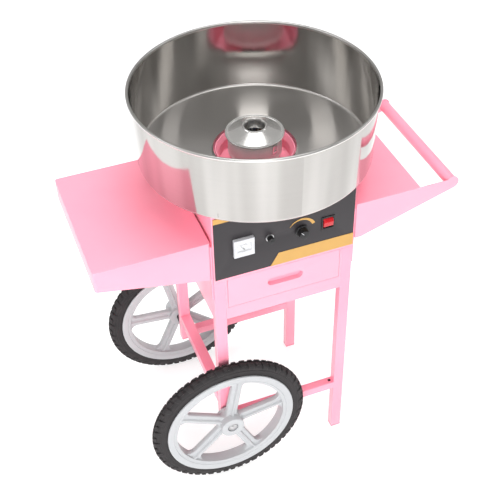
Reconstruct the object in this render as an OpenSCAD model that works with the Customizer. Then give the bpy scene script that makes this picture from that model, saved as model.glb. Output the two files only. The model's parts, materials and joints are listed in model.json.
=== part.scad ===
// Cotton candy machine on a two-wheeled cart.
// Frame: origin on the floor under the spinner's axis, +Z up, the control panel faces -Y,
// the wheels are at -X and the push handle at +X. Millimetres.

/* [Bowl] */
// Outer radius of the bowl over its rolled rim
bowl_r = 260; // [255:1:265]
// Outer radius of the bowl's wall at the bottom
bowl_foot_r = 249; // [245:1:252]
// Height of the bowl's floor above the ground
bowl_z = 808; // [806:1:810]
// Height of the rim above the ground
rim_z = 969; // [940:1:990]
// Radius of the hole in the bowl's floor
bowl_hole_r = 88; // [87:0.5:90]

/* [Cart] */
// Width of the cart over its posts
cart_w = 320; // [316:1:324]
// Front face of the cart, along Y
cart_front = -168; // [-172:1:-164]
// Rear face of the cart, along Y
cart_back = 151; // [148:1:154]
// Width of a post, along X
post_w = 25; // [24:1:26]
// Depth of a post, along Y
post_d = 20; // [18:1:22]
// Height of the deck that the machine stands on
deck_z = 618; // [616:1:620]
// Lower edge of the aprons around the drawer
apron_z = 500; // [495:1:505]
// Lower end of the two posts that carry the axle
short_post_z = 148; // [144:1:152]

/* [Wheels] */
// Outer radius of a tyre
tyre_r = 189; // [187:1:190]
// Radius where the tyre meets the rim
rim_r = 156.6; // [154:0.2:158]
// Width of a rim
rim_w = 34.4; // [32:0.4:36]
// Distance of the axle from the spinner's axis, along -X
axle_x = 148; // [146:0.5:149]
// Outer face of the front wheel's rim, along -Y
wheel_front = 208.4; // [206:0.2:212]
// Outer face of the rear wheel's rim, along +Y
wheel_back = 210.4; // [206:0.2:214]
// Number of spokes in a wheel
spokes = 5; // [5:1:6]

/* [Trays] */
// Height of both trays' tops
tray_z = 730; // [726:1:734]
// Far edge of the left tray
tray_left = -408; // [-412:1:-400]
// Far edge of the right tray's top
tray_right = 315; // [310:1:320]
// Axis of the push handle, along X
handle_x = 392.5; // [388:0.5:396]
// Radius of the push handle
handle_r = 13; // [12:0.5:14]
// Sheet thickness of the trays and aprons
sheet = 2; // [1.5:0.5:2.5]

/* [Machine] */
// Top of the sheet-metal housing
top_z = 800; // [799:1:801]
// Radius of the spinner head's cap
cap_r = 62.6; // [60:0.2:64]
// Height of the cap's rim
cap_z = 853; // [850:1:856]
// Height of the cap's sugar opening
mouth_z = 868; // [866:1:872]

/* [Hidden] */
$fn = 64;
eps = 0.01;
half_w = cart_w / 2;
axle_z = tyre_r;
tray_back = 160;
post_y = [cart_front, cart_back - post_d];
post_x = [-half_w, half_w - post_w];
post_top = deck_z - 2;
strap = 4;
housing_x = half_w - 0.3;
housing_back = cart_back + 1;
wall = 1.5;
panel_x0 = -157;
panel_x1 = 158.5;
panel_z0 = 623.5;
panel_z1 = 790;
panel_y = cart_front - wall;
axle_r = 6;
run_gap = 0.05;
move_gap = 0.4;
shaft_r = 5;
drawer_x = 130;
drawer_z0 = 534.6;
drawer_z1 = deck_z - 2.4;
drawer_depth = 262;
meter_c = [-94, 702.5];
fuse_c = [-35, 705];
knob_c = [36, 702];
rocker_c = [97, 704];
arm_r = 15.5;
handle_z = tray_z - 9;
bar_z0 = 153;
bar_h = 21;
beam_z0 = 210;

// ---------- shared shapes ----------

// A box from one corner to the opposite one
module span(a, b) translate(a) cube(b - a);

// A flat outline in X and Z, given a thickness along Y from y0 to y1
module slab_y(y0, y1) translate([0, y1, 0]) rotate([90, 0, 0]) linear_extrude(y1 - y0) children();

// A cylinder along Y from y0 to y1
module rod_y(x, z, r, y0, y1) translate([x, y1, z]) rotate([90, 0, 0]) cylinder(r = r, h = y1 - y0);

// A cylinder along X from x0 to x1
module rod_x(y, z, r, x0, x1) translate([x0, y, z]) rotate([0, 90, 0]) cylinder(r = r, h = x1 - x0);

// A rectangle with rounded corners from (x0, y0) to (x1, y1)
module rounded(x0, x1, y0, y1, r) {
  translate([x0 + r, y0]) square([x1 - x0 - 2 * r, y1 - y0]);
  translate([x0, y0 + r]) square([x1 - x0, y1 - y0 - 2 * r]);
  for (x = [x0 + r, x1 - r], y = [y0 + r, y1 - r])
    translate([x, y]) circle(r);
}

// A stadium-shaped slot centred on the origin
module slot(length, height) {
  square([length - height, height], center = true);
  for (s = [-1, 1])
    translate([s * (length - height) / 2, 0]) circle(height / 2);
}

// Points along an arc around c, from angle a0 to a1
function arc(c, r, a0, a1, n = 8) =
  [for (i = [0:n]) c + r * [cos(a0 + (a1 - a0) * i / n), sin(a0 + (a1 - a0) * i / n)]];

// A button-head screw whose head points along +Z from the origin
module button_screw(r, head, shank) {
  cylinder(r1 = r, r2 = r * 0.6, h = head);
  translate([0, 0, -shank]) cylinder(r = r * 0.5, h = shank + eps);
}

// Spots of the button-head screws, each head along +Z: tray straps and trays, crossbars, rear apron
screw_r = 3.6;
strap_y = [post_y[0] + 11, post_y[1] + 9];
module side_spots()
  for (s = [-1, 1], y = strap_y, z = [660, 700])
    translate([s * (half_w + strap + sheet), y, z]) rotate([0, s * 90, 0]) children();
module bar_spots()
  for (x = [-half_w + post_w + 8, half_w - post_w - 8], y = post_y)
    translate([x, y + post_d / 2, bar_z0 + bar_h]) children();
module rear_spots()
  for (s = [-1, 1], z = [515, 600])
    translate([s * 128, cart_back, z]) rotate([-90, 0, 0]) children();

// The hole that a screw's shank passes through
module screw_hole() translate([0, 0, -6]) cylinder(r = screw_r / 2 + 0.05, h = 7);

// A four-cornered hollow tube standing along Z
module post(x0, y0, z0, z1) {
  difference() {
    span([x0, y0, z0], [x0 + post_w, y0 + post_d, z1]);
    span([x0 + wall, y0 + wall, z0 - 1], [x0 + post_w - wall, y0 + post_d - wall, z1 + 1]);
    if (x0 < 0)
      rod_y(-axle_x, axle_z, axle_r, y0 - 1, y0 + post_d + 1);
  }
}

plug_h = 4;

// ---------- cart ----------

module post_front_left() color("pink") post(post_x[0], post_y[0], short_post_z + plug_h, post_top);
module post_front_right() color("pink") post(post_x[1], post_y[0], plug_h, post_top);
module post_rear_left() color("pink") post(post_x[0], post_y[1], short_post_z + plug_h, post_top);
module post_rear_right() color("pink") post(post_x[1], post_y[1], plug_h, post_top);

// Plastic plugs in the lower ends of the posts
module post_plugs() color("pink") {
  for (i = [0, 1], y = post_y) {
    z = i == 0 ? short_post_z : 0;
    translate([post_x[i], y, z]) {
      span([0, 0, 0], [post_w, post_d, plug_h]);
      span([wall, wall, plug_h - eps], [post_w - wall, post_d - wall, plug_h + 10]);
    }
  }
}

// A hollow bar along X between the posts
module crossbar(y0) {
  difference() {
    span([-half_w + post_w, y0, bar_z0], [half_w - post_w, y0 + post_d, bar_z0 + bar_h]);
    span([-half_w, y0 + wall, bar_z0 + wall],
         [half_w, y0 + post_d - wall, bar_z0 + bar_h - wall]);
    bar_spots() screw_hole();
  }
}
module front_crossbar() color("pink") crossbar(post_y[0]);
module rear_crossbar() color("pink") crossbar(post_y[1]);

// The bar along Y that ties the two short posts together above the axle
module axle_beam() color("pink")
  difference() {
    span([-half_w, post_y[0] + post_d, beam_z0], [-half_w + post_w, post_y[1], beam_z0 + post_w]);
    span([-half_w + wall, cart_front, beam_z0 + wall],
         [-half_w + post_w - wall, cart_back, beam_z0 + post_w - wall]);
  }

// The front apron frames the drawer on three sides
module front_apron() color("pink")
  difference() {
    span([-half_w + post_w, cart_front, apron_z], [half_w - post_w, cart_front + sheet, post_top]);
    span([-drawer_x - 0.6, cart_front - 1, drawer_z0 - 0.6], [drawer_x + 0.6, 0, deck_z]);
  }
module rear_apron() color("pink")
  difference() {
    span([-half_w + post_w, cart_back - sheet, apron_z], [half_w - post_w, cart_back, post_top]);
    rear_spots() screw_hole();
  }

// A side apron between a front and a rear post
module side_apron(x0) span([x0, post_y[0] + post_d, apron_z], [x0 + sheet, post_y[1], post_top]);
module left_apron() color("pink") side_apron(-half_w);
module right_apron() color("pink") side_apron(half_w - sheet);

module deck_plate() color("pink") span([-half_w, cart_front, post_top], [half_w, cart_back, deck_z]);

// Two angle rails, screwed to the side aprons, that carry the drawer
module drawer_runners() color("silver")
  for (s = [-1, 1]) {
    x = s * (half_w - sheet);
    span([min(x, x - s * 2), post_y[0] + post_d, 548], [max(x, x - s * 2), 120, 570]);
    span([min(x, s * 118), post_y[0] + post_d, 546], [max(x, s * 118), 120, 548]);
  }

// ---------- trays and handle ----------

// Plan of a tray, inset on every side by t
module tray_plan(x0, x1, t, r) rounded(x0 + t, x1 - t, cart_front + t, tray_back - t, r - t);

// Pressed sheet tray: the outline seen from the front, hollow underneath
module left_tray() color("pink")
  difference() {
    intersection() {
      linear_extrude(tray_z) tray_plan(tray_left, -half_w - strap, 0, 6);
      slab_y(cart_front, tray_back)
        polygon([[tray_left, tray_z], [tray_left, tray_z - 50], [-half_w - strap, tray_z - 102],
                 [-half_w - strap, tray_z]]);
    }
    linear_extrude(tray_z - sheet) tray_plan(tray_left, -half_w - strap, sheet, 6);
    side_spots() screw_hole();
  }

// Outline of the right tray's front and rear skirts, which run on into the handle's arms
arm_low = 637;
module arm_outline() {
  tangent = arm_r * [sin(17.3), -cos(17.3)];
  polygon([[half_w + strap, tray_z], [half_w + strap, arm_low], [half_w + 18, arm_low],
           [handle_x, handle_z] + tangent, [handle_x, handle_z], [handle_x - 6, tray_z]]);
  translate([handle_x, handle_z]) circle(arm_r);
}
module right_tray() color("pink") {
  x0 = half_w + strap;
  for (y = [cart_front, tray_back - sheet])
    slab_y(y, y + sheet) arm_outline();
  span([x0, cart_front, tray_z - sheet], [tray_right, tray_back, tray_z]);
  span([tray_right - sheet, cart_front, tray_z - 25], [tray_right, tray_back, tray_z]);
  difference() {
    span([x0, cart_front, arm_low], [x0 + sheet, tray_back, tray_z]);
    side_spots() screw_hole();
  }
}

// Flat bars that hang the trays on the posts
module tray_straps() color("pink")
  difference() {
    for (s = [-1, 1], y = strap_y)
      span([min(s * half_w, s * (half_w + strap)), y - 7, 566],
           [max(s * half_w, s * (half_w + strap)), y + 7, 716]);
    side_spots() screw_hole();
  }

module handle_bar() color("pink")
  difference() {
    rod_y(handle_x, handle_z, handle_r, cart_front + sheet, tray_back - sheet);
    rod_y(handle_x, handle_z, handle_r - wall, cart_front, tray_back);
  }

module cart_screws() color("dimgray") {
  side_spots() button_screw(screw_r, 2, 3);
  bar_spots() button_screw(screw_r, 2, 3);
  rear_spots() button_screw(screw_r, 2, 1.5);
}

// ---------- axle and wheels ----------

hub_out = 11;
hub_r = 28;
hub_bevel = 2;
axle_end = [-wheel_front - hub_out + 3, wheel_back + hub_out - 3];

module axle_rod() color("silver")
  rod_y(-axle_x, axle_z, axle_r, axle_end[0], axle_end[1]);

// Spacer tubes between the posts and the wheels' inner faces
module axle_spacers() color("dimgray")
  for (s = [[-wheel_front + rim_w + move_gap, cart_front], [cart_back, wheel_back - rim_w - move_gap]])
    difference() {
      rod_y(-axle_x, axle_z, 11, s[0], s[1]);
      rod_y(-axle_x, axle_z, axle_r, s[0] - 1, s[1] + 1);
    }

// Push-on caps that keep the wheels on the axle
module axle_nuts() color("silver")
  for (i = [0, 1]) {
    s = i == 0 ? -1 : 1;
    y = axle_end[i];
    difference() {
      union() {
        rod_y(-axle_x, axle_z, 10, min(y - s * 4, y + s * 1), max(y - s * 4, y + s * 1));
        translate([-axle_x, y + s, axle_z]) rotate([-s * 90, 0, 0]) cylinder(r1 = 8, r2 = 5, h = 1.6);
      }
      rod_y(-axle_x, axle_z, axle_r, min(y - s * 5, y), max(y - s * 5, y));
    }
  }

// Rounded window between two spokes; its middle lies along +X
spoke_half = 12.5;
window_r = 133;
inner_fillet = 10;
outer_fillet = 16;
module spoke_window() {
  half = 180 / spokes;
  inner = (spoke_half + inner_fillet) / sin(half);
  reach = window_r - outer_fillet;
  swing = half - asin((spoke_half + outer_fillet) / reach);
  corner = reach * [cos(swing), sin(swing)];
  polygon(concat(
    arc([inner, 0], inner_fillet, 90 + half, 270 - half, 6),
    arc([corner[0], -corner[1]], outer_fillet, -90 - half, -swing, 6),
    arc([0, 0], window_r, -swing, swing, 8),
    arc(corner, outer_fillet, swing, 90 + half, 6)));
}

// One moulded wheel: its outer face is at y = 0 and it is deep along +Y; first spoke at turn
module wheel_rim(turn) {
  web = [9, 24];
  difference() {
    union() {
      // rim section: two flanges, a bed for the tyre and an inner wall
      rotate([-90, 0, 0]) rotate_extrude($fn = 96)
        polygon([[window_r, 4], [window_r + 7, 1.5], [rim_r - 4, 0], [rim_r, 0], [rim_r, 4],
                 [rim_r - 6, 7], [rim_r - 6, rim_w - 7], [rim_r, rim_w - 4], [rim_r, rim_w],
                 [rim_r - 4, rim_w], [window_r + 7, rim_w - 1.5], [window_r, rim_w - 4]]);
      difference() {
        rod_y(0, 0, window_r + 4, web[0], web[1]);
        for (k = [0:spokes - 1])
          slab_y(web[0] - 1, web[1] + 1) rotate(turn + (k + 0.5) * 360 / spokes) spoke_window();
      }
      // raised rib along the middle of each spoke, on both faces
      for (k = [0:spokes - 1])
        slab_y(web[0] - 5, web[1] + 5) rotate(turn + k * 360 / spokes)
          polygon([[14, -5.5], [window_r + 2, -3.5], [window_r + 2, 3.5], [14, 5.5]]);
      rod_y(0, 0, hub_r, -hub_out + hub_bevel, rim_w);
      translate([0, -hub_out + hub_bevel, 0]) rotate([90, 0, 0])
        cylinder(r1 = hub_r, r2 = hub_r - hub_bevel, h = hub_bevel);
    }
    rod_y(0, 0, axle_r + run_gap, -hub_out - 1, rim_w + 1);
    rod_y(0, 0, 12.5, -hub_out - 1, -hub_out + 9);
  }
}

// Tyre section: a flat bead on the rim, a round shoulder and a shallow crown
module tyre() rotate([-90, 0, 0]) rotate_extrude($fn = 120) {
  mid = rim_w / 2;
  side = 13;
  bed = rim_r - 5.9;
  polygon(concat(
    [[bed, mid - 9.5], [rim_r + 0.4, mid - side]],
    arc([tyre_r - 10, mid - side + 9], 10, 240, 360, 6),
    arc([tyre_r - 10, mid + side - 9], 10, 0, 120, 6),
    [[rim_r + 0.4, mid + side], [bed, mid + 9.5]]));
}

front_turn = 8;
rear_turn = 6;
module front_place() translate([-axle_x, -wheel_front, axle_z]) children();
module rear_place() translate([-axle_x, wheel_back, axle_z]) rotate(180) children();
module front_rim() color("gainsboro") front_place() wheel_rim(front_turn);
module front_tyre() color("dimgray") front_place() tyre();
module rear_rim() color("gainsboro") rear_place() wheel_rim(rear_turn);
module rear_tyre() color("dimgray") rear_place() tyre();

// ---------- drawer ----------

// Drawer front with a pressed finger slot
module drawer_front() color("pink") {
  zc = 576;
  difference() {
    span([-drawer_x, cart_front, drawer_z0], [drawer_x, cart_front + sheet, drawer_z1]);
    slab_y(cart_front - 1, cart_front + sheet + 1) translate([2, zc]) slot(82, 21);
  }
  difference() {
    slab_y(cart_front + sheet, cart_front + 14) translate([2, zc]) slot(88, 27);
    slab_y(cart_front + sheet - 1, cart_front + 12) translate([2, zc]) slot(82, 21);
  }
}

// Box behind the drawer front, open on top; its side lips slide on the runners
box_x = 116;
lip_x = drawer_x - 0.5;
box_z0 = drawer_z0 + 4;
module drawer_box() color("pink") {
  y0 = cart_front + sheet;
  y1 = y0 + drawer_depth;
  difference() {
    span([-box_x, y0, box_z0], [box_x, y1, 604]);
    span([-box_x + wall, y0 - 1, box_z0 + wall], [box_x - wall, y1 - wall, 605]);
  }
  for (s = [-1, 1])
    span([min(s * box_x, s * lip_x), y0, 549], [max(s * box_x, s * lip_x), y1 - 10, 551]);
}

// ---------- machine housing ----------

// Side walls and back in one sheet, bent twice
module housing_shell() color("pink")
  difference() {
    span([-housing_x, cart_front + wall, deck_z], [housing_x, housing_back, top_z - 2]);
    span([-housing_x + wall, cart_front, deck_z - 1],
         [housing_x - wall, housing_back - wall, top_z]);
    // cooling slots in the back and through both sides
    for (i = [0:6]) {
      slab_y(housing_back - wall - 1, housing_back + 1)
        translate([30, 680 + i * 10]) slot(90, 4);
      for (s = [-1, 1])
        translate([s * housing_x, 60, 745 + i * 6]) rotate([0, 90, 0]) rotate([0, 0, 90])
          translate([0, 0, -3]) linear_extrude(6) slot(60, 3);
    }
    rod_y(-90, 650, 8, housing_back - wall - 1, housing_back + 1);
  }

// Lid with a round opening for the well
module housing_top() color("pink")
  difference() {
    span([-housing_x, cart_front, top_z - 2], [housing_x, housing_back, top_z]);
    translate([0, 0, top_z - 3]) cylinder(r = 80, h = 4);
  }

// Base sheet, turned up in front into the frame that the control panel is fixed to
module housing_base() color("pink") {
  span([-housing_x + wall, cart_front + wall, deck_z], [housing_x - wall, housing_back - wall, deck_z + 2]);
  difference() {
    span([-housing_x, cart_front, deck_z], [housing_x, cart_front + wall, top_z - 2]);
    span([-146, cart_front - 1, deck_z + 16], [146, cart_front + wall + 1, panel_z1 - 10]);
  }
}

// Dished well around the spinner: a collar that centres the bowl, a wall and a floor
well_floor = 776;
well_r = 76.5;
damper_at = 66;
module spinner_well() color("hotpink")
  difference() {
    rotate_extrude($fn = 96)
      polygon([[22, well_floor], [well_r + wall, well_floor], [well_r + wall, top_z], [94, top_z],
               [94, top_z + wall], [84.5, top_z + wall], [84.5, top_z + 12], [well_r, top_z + 12],
               [well_r, well_floor + wall], [22, well_floor + wall]]);
    corners(damper_at) translate([0, 0, well_floor - 1]) cylinder(r = 1.8, h = 4);
  }

// The four corners where the motor hangs, at radius r
module corners(r)
  for (a = [25:90:295])
    translate([r * cos(a), r * sin(a), 0]) children();

// Rubber pads that the bowl stands on
module bowl_pads() color("dimgray")
  for (a = [45:90:315])
    translate([150 * cos(a), 150 * sin(a), top_z]) cylinder(r = 9, h = bowl_z - top_z - 0.3);

// Four screws through the well's floor into the dampers
module well_screws() color("silver")
  corners(damper_at) translate([0, 0, well_floor + wall]) button_screw(3.5, 2.2, 1.4);

// ---------- motor ----------

plate_z = 748;
module motor_plate() color("silver")
  difference() {
    translate([0, 0, plate_z]) linear_extrude(3) rounded(-72, 72, -72, 72, 12);
    translate([0, 0, plate_z - 1]) cylinder(r = 16, h = 5);
  }
module motor_dampers() color("dimgray")
  corners(damper_at) translate([0, 0, plate_z + 3]) cylinder(r = 8, h = well_floor - plate_z - 3);

// Motor with its end bells, drilled through for the shaft
module motor_body() color("dimgray")
  difference() {
    union() {
      translate([0, 0, 668]) cylinder(r = 46, h = plate_z - 668);
      translate([0, 0, 660]) cylinder(r1 = 30, r2 = 42, h = 8 + eps);
    }
    translate([0, 0, 650]) cylinder(r = shaft_r + run_gap, h = 110);
  }

// ---------- spinner ----------

shaft_top = 826;
pan_z = 803;
pan_r = 57.5;
lip_r = 24.5;
module motor_shaft() color("silver")
  translate([0, 0, 628]) cylinder(r = shaft_r, h = shaft_top - 628);

// Insulated sleeve with two brass rings under the motor
module slip_rings() color("goldenrod")
  difference() {
    union() {
      translate([0, 0, 632]) cylinder(r = 13, h = 24);
      for (z = [635, 646])
        translate([0, 0, z]) cylinder(r = 16, h = 6);
    }
    translate([0, 0, 620]) cylinder(r = shaft_r, h = 40);
  }

// Bracket with two carbon brushes that face the rings
module brush_holder() color("dimgray") {
  span([34, -14, deck_z + 2], [62, 14, deck_z + 5]);
  span([34, -14, deck_z + 2], [38, 14, 658]);
  for (z = [638, 649])
    span([16.4, -4, z - 2.5], [34 + eps, 4, z + 2.5]);
}

// Polished pan with a boss for the shaft
module spinner_pan() color("silver")
  difference() {
    rotate_extrude($fn = 96)
      polygon([[0, pan_z], [pan_r - 2, pan_z], [pan_r, pan_z + 2], [pan_r, 848], [pan_r - 2, 848],
               [pan_r - 2, pan_z + 4], [15, pan_z + 4], [13, 830], [0, 830]]);
    translate([0, 0, pan_z - 1]) cylinder(r = shaft_r, h = shaft_top - pan_z + 1);
  }

// Ceramic ring on the pan's floor that the heater stands on
band_z = 812;
module heater_seat() color("white")
  difference() {
    translate([0, 0, pan_z + 4]) cylinder(r = 54, h = band_z - pan_z - 4, $fn = 96);
    translate([0, 0, pan_z]) cylinder(r = 48, h = 20, $fn = 96);
  }

// Ribbon heater just inside the pan's wall
module heater_band() color("sienna")
  difference() {
    translate([0, 0, band_z]) cylinder(r = 52, h = 38, $fn = 96);
    translate([0, 0, band_z - 1]) cylinder(r = 50.6, h = 40, $fn = 96);
    for (a = [0:15:345])
      rotate(a) span([48, -2, 818], [54, 2, 844]);
  }

// Cap: flat rim, cone and a funnel mouth for the sugar
module spinner_cap() color("silver")
  rotate_extrude($fn = 120)
    polygon([[cap_r, cap_z - 2.4], [cap_r, cap_z - 0.6], [cap_r - 0.6, cap_z], [cap_r - 3.4, cap_z],
             [lip_r + 1.2, mouth_z - 1.4], [lip_r + 0.4, mouth_z], [lip_r - 1.4, mouth_z],
             [lip_r - 2, mouth_z - 2], [lip_r - 2, 846], [lip_r - 0.4, 846], [lip_r - 0.2, mouth_z - 3.6],
             [cap_r - 4, cap_z - 2.4]]);

// Three studs that tie the cap to the pan
module spinner_studs() color("silver")
  for (a = [90:120:330])
    translate([36 * cos(a), 36 * sin(a), pan_z + 4]) {
      cylinder(r = 2.5, h = 51.5);
      cylinder(r = 5, h = 4, $fn = 6);
    }

// Small clip on the pan's wall where the heater's lead is held
clip_turn = -66;
module spinner_clip() color("silver")
  rotate(clip_turn)
    difference() {
      span([pan_r - 0.4, -7, 824], [pan_r + 1.6, 7, 846]);
      cylinder(r = pan_r + 0.05, h = cap_z, $fn = 96);
      span([pan_r + 0.6, -4, 829], [pan_r + 3, 4, 841]);
    }

// ---------- control panel ----------

meter_w = 45;
window = [31, 21];
module control_panel() color("dimgray")
  difference() {
    span([panel_x0, panel_y, panel_z0], [panel_x1, cart_front, panel_z1]);
    rod_y(meter_c[0], meter_c[1], 19, panel_y - 1, cart_front + 1);
    rod_y(fuse_c[0], fuse_c[1], 6, panel_y - 1, cart_front + 1);
    rod_y(knob_c[0], knob_c[1], 4, panel_y - 1, cart_front + 1);
    span([rocker_c[0] - 13, panel_y - 1, rocker_c[1] - 15],
         [rocker_c[0] + 13, cart_front + 1, rocker_c[1] + 15]);
  }

// Direction of step i along the dial's tapered arc, from its thick end at the right over the top
arc_n = 16;
function dial_dir(i) = [cos(22 + i * 8), sin(22 + i * 8)];

// Raised amber strips: one along the top, one at the lower right, and the dial's tapered arc
module panel_trim() color("orange") {
  slab_y(panel_y - 0.6, panel_y) {
    polygon([[panel_x0, 777], [-20, 777], [0, 782], [panel_x1, 782],
             [panel_x1, panel_z1], [panel_x0, panel_z1]]);
    polygon([[-33.5, panel_z0], [panel_x1, panel_z0], [panel_x1, 656], [-14.7, 656]]);
    translate(knob_c)
      polygon(concat([for (i = [0:arc_n]) (30 + 3.4 * (1 - i / arc_n)) * dial_dir(i)],
                     [for (i = [arc_n:-1:0]) (29.5 - 3.4 * (1 - i / arc_n)) * dial_dir(i)]));
  }
}

// Voltmeter: square face with a dial window, and a barrel behind the panel
module voltmeter_case() color("white") {
  h = meter_w / 2;
  difference() {
    span([meter_c[0] - h, panel_y - 9, meter_c[1] - h], [meter_c[0] + h, panel_y, meter_c[1] + h]);
    span([meter_c[0] - window[0] / 2, panel_y - 10, meter_c[1] - 9],
         [meter_c[0] + window[0] / 2, panel_y - 3, meter_c[1] - 9 + window[1]]);
  }
  rod_y(meter_c[0], meter_c[1], 18.9, panel_y - eps, cart_front + 28);
}
needle_y = panel_y - 5.4;
needle_turn = 36;
module voltmeter_needle() color("black")
  translate([meter_c[0], 0, meter_c[1] - 5]) {
    rod_y(0, 0, 1.8, needle_y - 0.8, needle_y + 2);
    slab_y(needle_y - 0.5, needle_y) rotate(needle_turn)
      polygon([[-0.8, -3], [0.8, -3], [0.3, 13.5], [-0.3, 13.5]]);
  }
module voltmeter_window() color("lightblue", 0.3)
  span([meter_c[0] - window[0] / 2, panel_y - 8.6, meter_c[1] - 9],
       [meter_c[0] + window[0] / 2, panel_y - 7.6, meter_c[1] - 9 + window[1]]);

// Fuse holder: bright ring on the panel, barrel behind it
module fuse_holder() color("silver")
  difference() {
    union() {
      rod_y(fuse_c[0], fuse_c[1], 9, panel_y - 2, panel_y);
      rod_y(fuse_c[0], fuse_c[1], 5.9, panel_y - eps, cart_front + 30);
    }
    rod_y(fuse_c[0], fuse_c[1], 4.5, panel_y - 3, panel_y + 6);
  }
module fuse_cap() color("black")
  difference() {
    union() {
      rod_y(fuse_c[0], fuse_c[1], 7, panel_y - 13, panel_y - 2.4);
      rod_y(fuse_c[0], fuse_c[1], 4.1, panel_y - 3, panel_y + 4);
    }
    span([fuse_c[0] - 5, panel_y - 14, fuse_c[1] - 0.6], [fuse_c[0] + 5, panel_y - 11.8, fuse_c[1] + 0.6]);
  }

// Rotary regulator behind the panel, with its bushing
module speed_dial_base() color("silver")
  difference() {
    union() {
      rod_y(knob_c[0], knob_c[1], 14, cart_front, cart_front + 16);
      rod_y(knob_c[0], knob_c[1], 3.9, panel_y - 2, cart_front + eps);
      rod_y(knob_c[0], knob_c[1], 7, panel_y - 1.6, panel_y);
    }
    rod_y(knob_c[0], knob_c[1], 3 + run_gap, panel_y - 3, cart_front + 10);
  }

// Knob with a wide skirt, a fluted grip and its shaft
module control_knob() color("black") {
  translate([knob_c[0], 0, knob_c[1]]) {
    rod_y(0, 0, 3, panel_y - 5, cart_front + 9);
    difference() {
      union() {
        rod_y(0, 0, 14.5, panel_y - 5, panel_y - 2.4);
        translate([0, panel_y - 5 + eps, 0]) rotate([90, 0, 0]) cylinder(r1 = 12, r2 = 10.5, h = 14);
      }
      for (a = [0:30:330])
        rotate([0, a, 0]) translate([12.6, panel_y - 5.5, 0]) rotate([90, 0, 0]) cylinder(r = 1.4, h = 15);
      rotate([0, -40, 0]) span([-0.7, panel_y - 20, 2], [0.7, panel_y - 18.2, 11]);
    }
  }
}

// Rocker switch
module rocker_bezel() color("black")
  difference() {
    union() {
      span([rocker_c[0] - 15, panel_y - 2, rocker_c[1] - 17], [rocker_c[0] + 15, panel_y, rocker_c[1] + 17]);
      span([rocker_c[0] - 12.9, panel_y - eps, rocker_c[1] - 14.9],
           [rocker_c[0] + 12.9, cart_front + 24, rocker_c[1] + 14.9]);
    }
    span([rocker_c[0] - 11.5, panel_y - 3, rocker_c[1] - 13.5],
         [rocker_c[0] + 11.5, cart_front + 12, rocker_c[1] + 13.5]);
  }
rocker_y = panel_y + 6;
module rocker_button() color("red")
  translate([0, rocker_y, rocker_c[1]])
    intersection() {
      rod_x(0, 0, 12.4, rocker_c[0] - 11, rocker_c[0] + 11);
      rotate([8, 0, 0]) span([rocker_c[0] - 11, -11, -12], [rocker_c[0] + 11, 3, 12]);
    }

// ---------- electrics ----------

module regulator_board() color("green") {
  for (x = [62, 138], y = [-128, -72])
    translate([x, y, deck_z + 2]) cylinder(r = 3, h = 8);
  span([55, -135, deck_z + 10], [145, -65, deck_z + 11.6]);
  span([62, -100, deck_z + 11.6], [98, -72, deck_z + 40]);
  for (x = [110, 128])
    translate([x, -90, deck_z + 11.6]) cylinder(r = 8, h = 22);
}

// Gland where the supply cord enters the back
module cable_gland() color("black")
  difference() {
    union() {
      rod_y(-90, 650, 7.9, housing_back - 8, housing_back + 14);
      translate([-90, housing_back + 5, 650]) rotate([90, 0, 0]) cylinder(r = 11.5, h = 5, $fn = 6);
    }
    rod_y(-90, 650, 4, housing_back - 9, housing_back + 15);
  }

// ---------- bowl ----------

// Spun bowl: flat floor with a lipped hole, a flared wall and a rolled rim
module bowl() color("silver") {
  bead = 3.4;
  t = 1.5;
  top_r = bowl_r - 2 * bead;
  corner = 5;
  rotate_extrude($fn = 180) {
    polygon(concat(
      [[bowl_hole_r, bowl_z], [bowl_foot_r - corner, bowl_z]],
      arc([bowl_foot_r - corner, bowl_z + corner], corner, -90, -5, 5),
      [[top_r + t, rim_z - bead], [top_r, rim_z - bead], [bowl_foot_r - t, bowl_z + corner]],
      arc([bowl_foot_r - corner, bowl_z + corner], corner - t, -5, -90, 5),
      [[bowl_hole_r + t, bowl_z + t], [bowl_hole_r + t, bowl_z + 6], [bowl_hole_r, bowl_z + 6]]));
    translate([bowl_r - bead, rim_z - bead]) circle(bead);
  }
}

post_front_left();
post_front_right();
post_rear_left();
post_rear_right();
post_plugs();
front_crossbar();
rear_crossbar();
axle_beam();
front_apron();
rear_apron();
left_apron();
right_apron();
deck_plate();
drawer_runners();
left_tray();
right_tray();
tray_straps();
handle_bar();
cart_screws();
axle_rod();
axle_spacers();
axle_nuts();
front_rim();
front_tyre();
rear_rim();
rear_tyre();
drawer_front();
drawer_box();
housing_shell();
housing_top();
housing_base();
spinner_well();
bowl_pads();
well_screws();
motor_plate();
motor_dampers();
motor_body();
motor_shaft();
slip_rings();
brush_holder();
spinner_pan();
heater_seat();
heater_band();
spinner_cap();
spinner_studs();
spinner_clip();
control_panel();
panel_trim();
voltmeter_case();
voltmeter_needle();
voltmeter_window();
fuse_holder();
fuse_cap();
speed_dial_base();
control_knob();
rocker_bezel();
rocker_button();
regulator_board();
cable_gland();
bowl();
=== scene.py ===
"""Looks of the cotton candy machine and its cart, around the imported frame. Metres, +Z up, panel at -Y."""

import json
import math

import bmesh
import bpy
from mathutils import Matrix, Vector


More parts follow.
